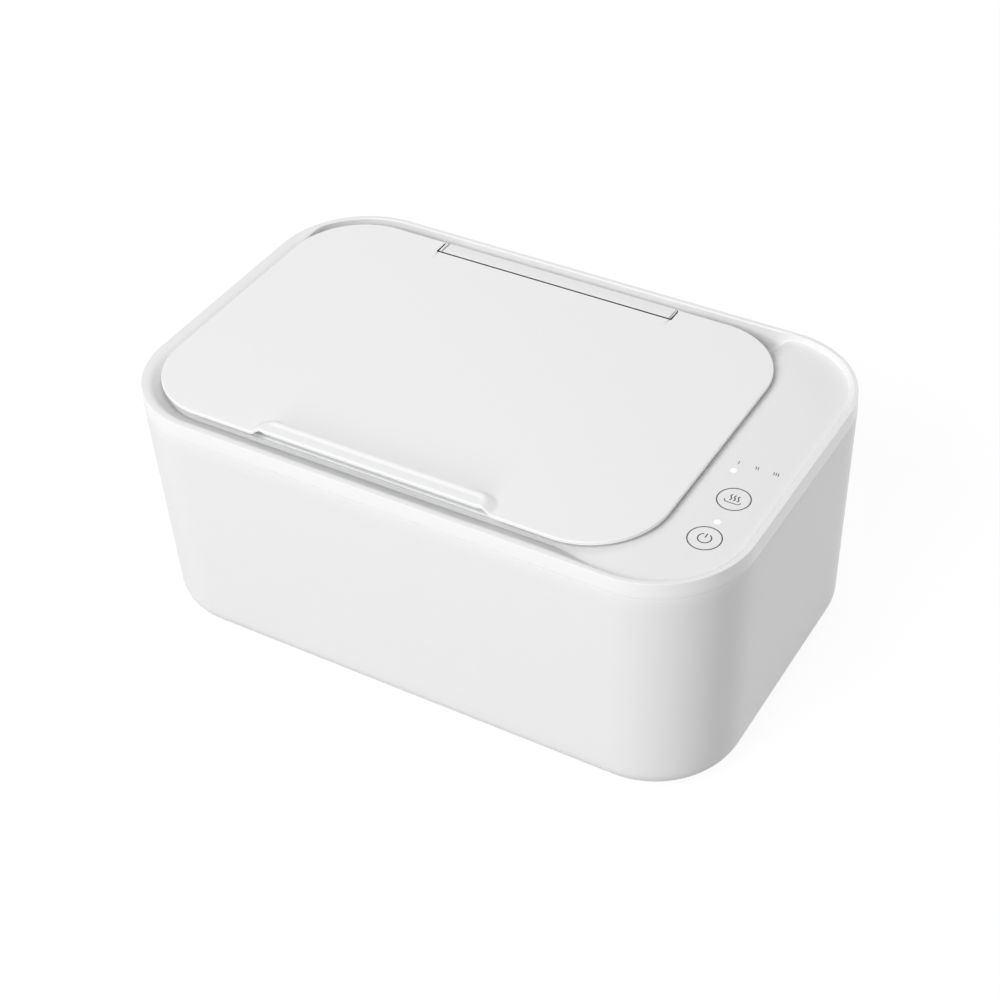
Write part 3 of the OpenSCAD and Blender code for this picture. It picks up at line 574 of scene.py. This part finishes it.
# %% Outline of the lid
def plain_lid_ring(inset):
    """The lid's outline without lip and cut-out."""
    r = max(LID_R - inset, 1.0)
    return outline(LID_X0 + inset, LID_X1 - inset, LID_Y0 + inset, LID_Y1 - inset, r,
                   FRONT, BACK, steps(LID_SIDE), LID_ARC)


first_back = len(FRONT) + LID_SIDE + 2 * (LID_ARC + 1)
back_index = np.arange(first_back, first_back + len(BACK))


def lid_contour():
    """The lid's real outline: the lip's edge set back, and the cut-out for the bar."""
    ring = plain_lid_ring(0)
    front = ring[:, 1] < LID_Y0 + 1e-6
    h = lip_height(ring[:, 0], np.full(len(ring), LID_Y0 + LIP_BACK))
    ring[front, 1] += LIP_BACK * np.clip(h[front] / LIP_H, 0, 1)
    met = {CUT_X0: 0, CUT_X1: 0}
    for i, x in zip(back_index, reversed(back_places)):
        if x in met:
            t = met[x] / (CUT_WALL_POINTS - 1)
            met[x] += 1
            ring[i, 1] = LID_Y1 + (CUT_Y - LID_Y1) * (t if x == CUT_X1 else 1 - t)
        elif CUT_X0 < x < CUT_X1:
            ring[i, 1] = CUT_Y
    return ring


contour = lid_contour()
in_back = np.zeros(len(contour), bool)
in_back[back_index] = True
print("points round the lid:", len(contour))

# %% [markdown]
# The edge's small round needs rings that follow the real outline, with its cut-out, at an even
# distance. Further in, the rings ease into a plain family of rounded rectangles.

# %% Rings inside the outline
MITRED, EASE_BACK, EASE_FRONT = 1.2, 12.0, 1.6


def inward(ring, distance):
    """The ring moved inwards by a distance, mitred at its corners."""
    before, after = np.roll(ring, 1, 0), np.roll(ring, -1, 0)

    def normal(v):
        length = np.linalg.norm(v, axis=1)[:, None]
        v = v / np.maximum(length, 1e-9)
        return np.column_stack([-v[:, 1], v[:, 0]])

    n0, n1 = normal(ring - before), normal(after - ring)
    n = n0 + n1
    n /= np.maximum(np.linalg.norm(n, axis=1), 1e-9)[:, None]
    return ring + n * (distance / np.maximum((n * n0).sum(1), 0.5))[:, None]


def lid_ring(inset):
    """The plan of the lid's ring at an inset: mitred near the edge, then the plain family."""
    near = inward(contour, min(inset, MITRED))
    if inset <= MITRED:
        return near
    plain = plain_lid_ring(inset)
    ring = plain.copy()
    t = np.clip((inset - MITRED) / EASE_BACK, 0, 1)
    ring[in_back] = near[in_back] * (1 - t) + plain[in_back] * t
    front = contour[:, 1] < LID_Y0 + 1.5
    s = np.clip((inset - MITRED) / EASE_FRONT, 0, 1)
    ring[front] = near[front] * (1 - s) + plain[front] * s
    return ring


def on_top(ring):
    """The height of the lid's top at each point of a ring."""
    return LID_Z + lip_height(ring[:, 0], np.maximum(ring[:, 1], LID_Y0 + LIP_BACK))


print("lid ring 5 mm in, front to back:", round(float(np.ptp(lid_ring(5)[:, 1])), 2))

# %% Lid
EDGE_R, EDGE_T, UNDER_EASE = 0.4, 1.4, 0.12
UNDER_INSETS = (66, 60, 44, 30, 20, 12, 8, 5, 3)
edge_low = on_top(contour) - EDGE_T
rings = []
for inset in UNDER_INSETS:
    plan = lid_ring(inset)
    rings.append(at_height(plan, on_top(plan) - LID_T))
rings.append(at_height(inward(contour, 0.5), edge_low - 0.1))
rings.append(at_height(inward(contour, UNDER_EASE), edge_low))
rings.append(at_height(contour, edge_low + UNDER_EASE))
for across, up in quarter(6, EDGE_R, 0):
    plan = inward(contour, EDGE_R - across)
    rings.append(at_height(plan, on_top(plan) - EDGE_R + up))
for inset in spaced((1.3, 9.1, 0.35), (9.2, 14, 0.8), (14, 44, 1.6)) + [48, 54, 60, 66]:
    plan = lid_ring(inset)
    rings.append(at_height(plan, on_top(plan)))
lid = skin("lid_skin", rings, material=lid_white, sharp=40)
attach(lid, "cover")
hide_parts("lid")
report(lid)

# %% [markdown]
# ## The hinge
#
# A bar with soft edges is fixed across the cut-out, and the lid turns on two steel pins that run
# in its ends. Two ears under the lid hold the pins. A cube with a bevel would round all edges
# alike, so the bar's section is drawn first, with a wider round at the back, and then run along
# x with its ends eased.

# %% Hinge bar and ears
BAR_TOP, BAR_FOOT = LID_Z - 0.45, TROUGH_Z - 0.5
BAR_FRONT_R, BAR_BACK_R, BAR_END_R = 0.5, 0.8, 0.6
EAR_GAP, EAR_L, EAR_R = 0.8, 7.0, 3.0
bar_section = [(BAR_Y0, BAR_FOOT), (BAR_Y1 - 1.0, BAR_FOOT)]
for across, up in quarter(8, BAR_BACK_R, 0):
    bar_section.append((BAR_Y1 - BAR_BACK_R + across, BAR_TOP - BAR_BACK_R + up))
for across, up in quarter(8, BAR_FRONT_R, 90):
    bar_section.append((BAR_Y0 + BAR_FRONT_R + across, BAR_TOP - BAR_FRONT_R + up))


def eased_bar(name, x0, x1, section, r, material):
    """A bar along x whose two ends are rounded over by r."""
    p = np.array(section, float)
    centre = p.mean(axis=0)
    reach = np.abs(p - centre).max(0)
    start, end = [], []
    for a in (math.radians(90 * k / 5) for k in range(6)):
        back, shrink = r * (1 - math.cos(a)), r * (1 - math.sin(a))
        shape = centre + (p - centre) * (1 - shrink / reach)
        start.append(np.column_stack([np.full(len(shape), x0 + back), shape]))
        end.append(np.column_stack([np.full(len(shape), x1 - back), shape]))
    return skin(name, start + end[::-1], material=material, sharp=50)


bar = eased_bar("bar_skin", GRIP_X - BAR_L / 2, GRIP_X + BAR_L / 2, bar_section, BAR_END_R, frame_white)
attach(bar, "base")
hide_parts("hinge_bar")
report(bar)
for side, sign in (("left", -1), ("right", 1)):
    start = GRIP_X + sign * (BAR_L / 2 + EAR_GAP)
    ear = rod("ear_" + side, (start, AXIS_Y, AXIS_Z), (start + sign * EAR_L, AXIS_Y, AXIS_Z),
              EAR_R, 40, lid_white)
    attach(ear, "cover")

# %% [markdown]
# ## The tank and the lid's liner
#
# With the lid up, the heated tank shows: a smooth tub that hangs by its flange on the frame's
# collar. A shallow liner under the lid closes it, with a soft ring round it. Both follow the
# tank's outline, so the rings of the frame serve again, and the tub gets its wall by going down
# the inside as it came up the outside.

# %% Tank
TANK_LEAN, TANK_WALL, FLANGE_R = 3.0, 2.0, 0.8
OUTER_R, INNER_R = 6.0, 4.0


def tank_lean(z):
    """How far the tub's wall has drawn in at a height."""
    return TANK_LEAN * (COLLAR_Z - min(z, COLLAR_Z)) / (COLLAR_Z - TANK_Z)


rings = []
for across, up in quarter(8, OUTER_R, -90):
    z = TANK_Z + OUTER_R + up
    rings.append(at_height(tank_outline(across - OUTER_R - tank_lean(z)), z))
for grow, z in ((0, COLLAR_Z - 0.05), (FLANGE_OUT - 0.1, COLLAR_Z), (FLANGE_OUT, COLLAR_Z + 0.1)):
    rings.append(at_height(tank_outline(grow), z))
for across, up in quarter(4, FLANGE_R, 0):
    rings.append(at_height(tank_outline(FLANGE_OUT - FLANGE_R + across), FLANGE_TOP - FLANGE_R + up))
for across, up in quarter(4, FLANGE_R, 90):
    rings.append(at_height(tank_outline(FLANGE_R - TANK_WALL + across), FLANGE_TOP - FLANGE_R + up))
for across, up in quarter(8, INNER_R, 0):
    z = TANK_Z + TANK_WALL + INNER_R - up
    rings.append(at_height(tank_outline(across - TANK_WALL - INNER_R - tank_lean(z)), z))
tank = skin("tank_skin", rings, material=inner_white, sharp=40)
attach(tank, "base")
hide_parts("wipes_tank")
report(tank)

# %% Liner
LINER_Z, UNDER_Z = 94.5, 98.8
LINER_IN, LINER_R = 3.5, 1.2
rings = [at_height(tank_outline(-LINER_IN), UNDER_Z)]
for across, up in quarter(5, LINER_R, 0):
    rings.append(at_height(tank_outline(across - LINER_IN - LINER_R), LINER_Z + LINER_R - up))
for grow in (-11, -23):
    rings.append(at_height(tank_outline(grow), LINER_Z))
liner = skin("liner_skin", rings, material=inner_white, sharp=40)
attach(liner, "cover")
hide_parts("lid_liner")
report(liner)

# %% [markdown]
# ## Feet
#
# Four rubber pads lift the body by a finger's nail. From above only their dark edge shows. Each
# is turned, as a potter turns a bowl: a short profile of radius and height goes round an axis.

# %% Feet
FOOT_RADIUS = 7.0
foot_profile = [(FOOT_RADIUS - 0.8, 0), (FOOT_RADIUS - 0.3, 0.1), (FOOT_RADIUS, 0.5), (FOOT_RADIUS, BASE_Z)]
rubber = finish("rubber", grey(0.05), rough=0.75)


def lathe(name, cx, cy, profile, n=48, material=None):
    """A piece turned about an upright axis from (radius, height) points."""
    turn = [2 * math.pi * k / n for k in range(n)]
    rings = [np.array([(cx + r * math.cos(a), cy + r * math.sin(a), z) for a in turn]) for r, z in profile]
    return skin(name, rings, material=material)


for name in ("front_left", "front_right", "rear_left", "rear_right"):
    x0, y0, _, x1, y1, _ = size_in_frame("foot_" + name)
    foot = lathe("foot_skin_" + name, (x0 + x1) / 2, (y0 + y1) / 2, foot_profile, material=rubber)
    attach(foot, "base")
    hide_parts("foot_" + name)
report(foot)

# %% [markdown]
# ## Marks on the control deck
#
# The deck has no keys. Two thin printed rings mark where a finger works the touch springs
# below: heat with its steam sign, and power. Three tiny level signs stand over their lights.
# The marks could be a picture on the deck, but a picture blurs close up. So each mark is a very
# thin raised print, as a pad printer leaves it.

# %% Strokes
ink = finish("grey ink", (0.055, 0.055, 0.06), rough=0.55)
PRINT_Z, PRINT_T = DECK_Z + 0.01, 0.03


def stroke(path, width, closed=False):
    """Verts and faces of a flat print of one width along a path, in mm."""
    p = np.array(path, float)
    n = len(p)
    if closed:
        t = np.roll(p, -1, 0) - np.roll(p, 1, 0)
    else:
        t = np.gradient(p, axis=0)
    t /= np.maximum(np.linalg.norm(t, axis=1), 1e-9)[:, None]
    side = np.column_stack([-t[:, 1], t[:, 0]]) * width / 2
    verts = [(*q, PRINT_Z + PRINT_T) for q in p + side] + [(*q, PRINT_Z + PRINT_T) for q in p - side]
    count = n if closed else n - 1
    return verts, [(i, n + i, n + (i + 1) % n, (i + 1) % n) for i in range(count)]


def printed(name, strokes, material):
    """One print made of several strokes."""
    verts, faces = [], []
    for v, f in strokes:
        k = len(verts)
        verts += v
        faces += [tuple(i + k for i in q) for q in f]
    obj = mesh_piece(name, verts, faces, material)
    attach(obj, "base")
    return obj


def circle(cx, cy, r, a0=0.0, a1=360.0, n=96):
    """Points on a circle or a part of one."""
    return [(cx + r * math.cos(math.radians(a0 + (a1 - a0) * k / n)),
             cy + r * math.sin(math.radians(a0 + (a1 - a0) * k / n))) for k in range(n + 1)]


def wave(cx, y0, h, swing, n=20):
    """A steam line: one full bend from its foot to its top."""
    return [(cx + swing * math.sin(2 * math.pi * k / n), y0 + h * k / n) for k in range(n + 1)]


print("the prints stand over the deck by, mm:", round(PRINT_Z + PRINT_T - DECK_Z, 2))

# %% Rings and signs
HEAT, POWER = (RING_X, -18.9), (RING_X, -41.1)
RING_R, LINE = 5.75, 0.42
STEAM_PITCH, STEAM_H, STEAM_SWING = 1.35, 3.0, 0.35
TRAY_LINE = 0.34
POWER_R, POWER_GAP = 2.3, 28
WAVE_PITCH, WAVE_H, WAVE_SWING, WAVE_LINE = 0.8, 1.6, 0.16, 0.26
heat_sign = [stroke(circle(*HEAT, RING_R)[:-1], LINE, True)]
for k in (-1, 0, 1):
    steam = wave(HEAT[0] + 0.1 + STEAM_PITCH * k, HEAT[1] - 0.9, STEAM_H, STEAM_SWING)
    heat_sign.append(stroke(steam, LINE))
tray = [(-2.9, -0.9), (-2.75, -1.7), (-2.2, -2.1), (2.2, -2.1), (2.75, -1.7), (2.9, -0.9)]
heat_sign.append(stroke([(HEAT[0] + x, HEAT[1] + y) for x, y in tray], TRAY_LINE))
printed("heat_mark", heat_sign, ink)
power_sign = [stroke(circle(*POWER, RING_R)[:-1], LINE, True),
              stroke(circle(*POWER, POWER_R, 90 + POWER_GAP, 450 - POWER_GAP), LINE),
              stroke([(POWER[0], POWER[1] + up) for up in (0.3, 1.4, 2.5)], LINE)]
printed("power_mark", power_sign, ink)
for count, x in ((1, 95.8), (2, 102.6), (3, 109.6)):
    places = [x + (k - (count - 1) / 2) * WAVE_PITCH for k in range(count)]
    waves = [stroke(wave(place_x, -1.3, WAVE_H, WAVE_SWING, 12), WAVE_LINE) for place_x in places]
    printed(f"level_mark_{count}", waves, ink)
print("marks on the deck: 2 rings with their signs, 3 level signs")

# %% [markdown]
# The lights shine through a thin skin of the deck, so they show as small soft dots. Two are
# lit: the first level and the power light. A lamp in the scene would be too much for so small a
# thing, so each is a thin spot that glows, with a wider and fainter one round it.

# %% Lights
DOT_R, DOT_T, HALO_R, HALO_T = 0.75, 0.04, 1.3, 0.02
lit = finish("lit dot", grey(0.9), rough=0.5, glow=((1, 1, 1), 1.2))
halo = finish("lit halo", grey(0.9), rough=0.5, glow=((1, 1, 1), 0.08))


def dot(name, x, y, r, z, material):
    """A very thin round spot on the deck."""
    spot = lathe(name, x, y, [(r, PRINT_Z), (r, PRINT_Z + z)], 32, material)
    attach(spot, "base")
    return spot


for name, x, y in (("level_light", 96.0, -5.2), ("power_light", 102.8, -31.9)):
    dot(name, x, y, DOT_R, DOT_T, lit)
    dot(name + "_halo", x, y, HALO_R, HALO_T, halo)
print("lit dots, mm across:", 2 * DOT_R)

# %% [markdown]
# ## Everything inside
#
# The pieces that hide in the body keep their CAD meshes. Each gets the finish of what it is
# made of, so that an opened or exploded view looks right. They could be drawn again as the
# outside was, but nobody sees them close up, and their CAD shapes are already true.

# %% Finishes for the hidden pieces
zinc = finish("zinc", (0.62, 0.62, 0.63), rough=0.35, metal=1.0)
spring = finish("spring steel", (0.70, 0.66, 0.52), rough=0.3, metal=1.0)
light_guide = finish("light guide", (0.86, 0.90, 0.92), rough=0.15)
pin_steel = finish("ground steel", (0.66, 0.66, 0.67), rough=0.25, metal=1.0)
finishes = {
    "bottom_cover": cover_white,
    "cover_screws": zinc,
    "hinge_bar_screws": zinc,
    "board_screws": zinc,
    "liner_screws": zinc,
    "heat_spreader": finish("rolled aluminium", (0.78, 0.79, 0.80), rough=0.4, metal=1.0,
                            grain=0.6, grain_size=300),
    "heater_film": finish("silicone film", (0.55, 0.20, 0.08), rough=0.55, grain=0.4, grain_size=500),
    "insulation_pad": finish("foam", (0.62, 0.62, 0.60), rough=0.95, grain=1.0, grain_size=350),
    "thermal_fuse": finish("glazed ceramic", (0.85, 0.82, 0.74), rough=0.25),
    "temperature_sensor": finish("epoxy bead", grey(0.03), rough=0.3),
    "control_board": finish("board green", (0.02, 0.13, 0.05), rough=0.4, grain=0.3),
    "heat_touch_spring": spring,
    "power_touch_spring": spring,
    "level_light_guide": light_guide,
    "power_light_guide": light_guide,
    "indicator_leds": finish("led resin", (0.93, 0.90, 0.62), rough=0.3),
    "power_jack": finish("black nylon", (0.025, 0.025, 0.028), rough=0.45, grain=0.3),
    "jack_leads": finish("grey lead", (0.20, 0.20, 0.21), rough=0.5),
    "heater_leads": finish("red lead", (0.45, 0.04, 0.03), rough=0.5),
    "sensor_leads": finish("black lead", grey(0.03), rough=0.5),
    "lid_seal": finish("soft silicone", (0.60, 0.61, 0.61), rough=0.6, grain=0.2),
    "hinge_pin_left": pin_steel,
    "hinge_pin_right": pin_steel,
}
for name, mat in finishes.items():
    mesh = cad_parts[name].data
    mesh.materials.clear()
    mesh.materials.append(mat)
    mesh.shade_smooth()
    mesh.set_sharp_from_angle(angle=math.radians(30))
print(len(finishes), "CAD nodes finished")

# %% [markdown]
# ## Studio
#
# The photo is a catalogue shot on pure white. The shades on the body tell the lamps: one broad
# light from the front left, a small near one high behind the left that fades a little across
# the lid, a weak one from behind the right side, and an even light from the white room all
# round. The round corner turns away from them, and that makes the long grey core on it. White
# walls could be built round the piece, but they would throw more light on it than the photo
# shows. So the floor and the sky look white to the eye, and light the piece only as a mid grey
# paper would.

# %% Floor and surroundings
def seen_white(tree, lit, seen, share):
    """Mixes lit with seen: camera, glossy and glass rays meet share of seen, the rest only lit."""
    nodes, links = tree.nodes, tree.links
    path = nodes.new("ShaderNodeLightPath")
    either = path.outputs["Is Camera Ray"]
    for ray in ("Is Glossy Ray", "Is Transmission Ray"):
        add = nodes.new("ShaderNodeMath")
        add.operation, add.use_clamp = "ADD", True
        links.new(either, add.inputs[0])
        links.new(path.outputs[ray], add.inputs[1])
        either = add.outputs["Value"]
    part = nodes.new("ShaderNodeMath")
    part.operation = "MULTIPLY"
    part.inputs[1].default_value = share
    links.new(either, part.inputs[0])
    mix = nodes.new("ShaderNodeMixShader")
    links.new(part.outputs["Value"], mix.inputs["Fac"])
    links.new(lit, mix.inputs[1])
    links.new(seen, mix.inputs[2])
    return mix.outputs["Shader"]


FLOOR_GREY, FLOOR_GLOW, FLOOR_SEEN, FLOOR_REACH = 0.45, 1.18, 0.78, 4000
ROOM_FELT, ROOM_SEEN = 0.36, 1.0
floor_mat = bpy.data.materials.new("white floor")
floor_mat.use_nodes = True
tree = floor_mat.node_tree
tree.nodes.clear()
matt = tree.nodes.new("ShaderNodeBsdfDiffuse")
matt.inputs["Color"].default_value = (*grey(FLOOR_GREY), 1)
white = tree.nodes.new("ShaderNodeEmission")
white.inputs["Color"].default_value = (*grey(1), 1)
white.inputs["Strength"].default_value = FLOOR_GLOW
out = tree.nodes.new("ShaderNodeOutputMaterial")
surface = seen_white(tree, matt.outputs["BSDF"], white.outputs["Emission"], FLOOR_SEEN)
tree.links.new(surface, out.inputs["Surface"])
corners = [(sx * FLOOR_REACH, sy * FLOOR_REACH, 0) for sx, sy in ((-1, -1), (1, -1), (1, 1), (-1, 1))]
ground = mesh_piece("floor", corners, [(0, 1, 2, 3)], floor_mat)

world = bpy.data.worlds.new("studio")
bpy.context.scene.world = world
world.use_nodes = True
tree = world.node_tree
tree.nodes.clear()
skies = []
for strength in (ROOM_FELT, ROOM_SEEN):
    sky = tree.nodes.new("ShaderNodeBackground")
    sky.inputs["Color"].default_value = (*grey(1), 1)
    sky.inputs["Strength"].default_value = strength
    skies.append(sky.outputs["Background"])
out = tree.nodes.new("ShaderNodeOutputWorld")
tree.links.new(seen_white(tree, *skies, 1.0), out.inputs["Surface"])
print("floor and room: the piece is lit by", FLOOR_GREY, "of the floor and", ROOM_FELT, "of the room")

# %% Lamps
# The lamps look at the middle of the piece. They are placed in metres.
LAMP_AIM = Vector((0, 0, 0.06))


def lamp(name, side, height, away, size, power):
    """A soft square light at a bearing from the front (right is 90) and a height, both in degrees.

    away and size are in metres.
    """
    data = bpy.data.lights.new(name, "AREA")
    data.shape, data.size, data.energy = "SQUARE", size, power
    obj = bpy.data.objects.new(name, data)
    bpy.context.scene.collection.objects.link(obj)
    a, b = math.radians(side), math.radians(height)
    aim = Vector((math.sin(a) * math.cos(b), -math.cos(a) * math.cos(b), math.sin(b)))
    obj.location = LAMP_AIM + aim * away
    obj.rotation_euler = (-aim).to_track_quat("-Z", "Y").to_euler()
    print(name, "watts:", power)


lamp("front lamp", side=-12, height=39, away=3.0, size=1.7, power=76)
lamp("top lamp", side=-135, height=60, away=0.8, size=0.4, power=0.65)
lamp("right lamp", side=150, height=5, away=1.8, size=0.4, power=12)

# %% [markdown]
# ## Camera
#
# The camera was solved from the photo's outline and straight edges: where it stands, how it
# is turned, and its focal length. It looks down at about forty degrees from the front right.
# It could be placed by eye, but then no edge would lie where the photo has it.

# %% Camera
AZ, EL, ROLL = map(math.radians, (30.81, 39.90, -2.04))
EYE_X, EYE_Y, EYE_OVER_SEAM = 311.81, -495.35, 438.45
IMAGE_PX, F_PX, CENTRE_X, CENTRE_Y = 1000, 2032.21, 540.0, 500.0
SENSOR = 36
right = Vector((math.cos(AZ), math.sin(AZ), 0))
back = Vector((math.sin(AZ) * math.cos(EL), -math.cos(AZ) * math.cos(EL), math.sin(EL)))
up = back.cross(right)
turned_right = math.cos(ROLL) * right + math.sin(ROLL) * up
turned_up = -math.sin(ROLL) * right + math.cos(ROLL) * up
camera_data = bpy.data.cameras.new("camera")
camera_data.sensor_width = SENSOR
camera_data.lens = F_PX * SENSOR / IMAGE_PX
camera_data.shift_x = (IMAGE_PX / 2 - CENTRE_X) / IMAGE_PX
camera_data.shift_y = (CENTRE_Y - IMAGE_PX / 2) / IMAGE_PX
camera = bpy.data.objects.new("camera", camera_data)
bpy.context.scene.collection.objects.link(camera)
turn = Matrix((turned_right, turned_up, back)).transposed().to_4x4()
eye = Vector((EYE_X, EYE_Y, EYE_OVER_SEAM + PART_Z)) * MM
camera.matrix_world = Matrix.Translation(eye) @ turn
bpy.context.scene.camera = camera
print("lens, mm:", round(camera_data.lens, 2))

# %% [markdown]
# ## Colour
#
# A film-like colour curve is one choice for a picture, but it would grey the white plastic, so
# the colours stay plain.

# %% Colour
view = bpy.context.scene.view_settings
view.view_transform = "Standard"
view.look = "None"
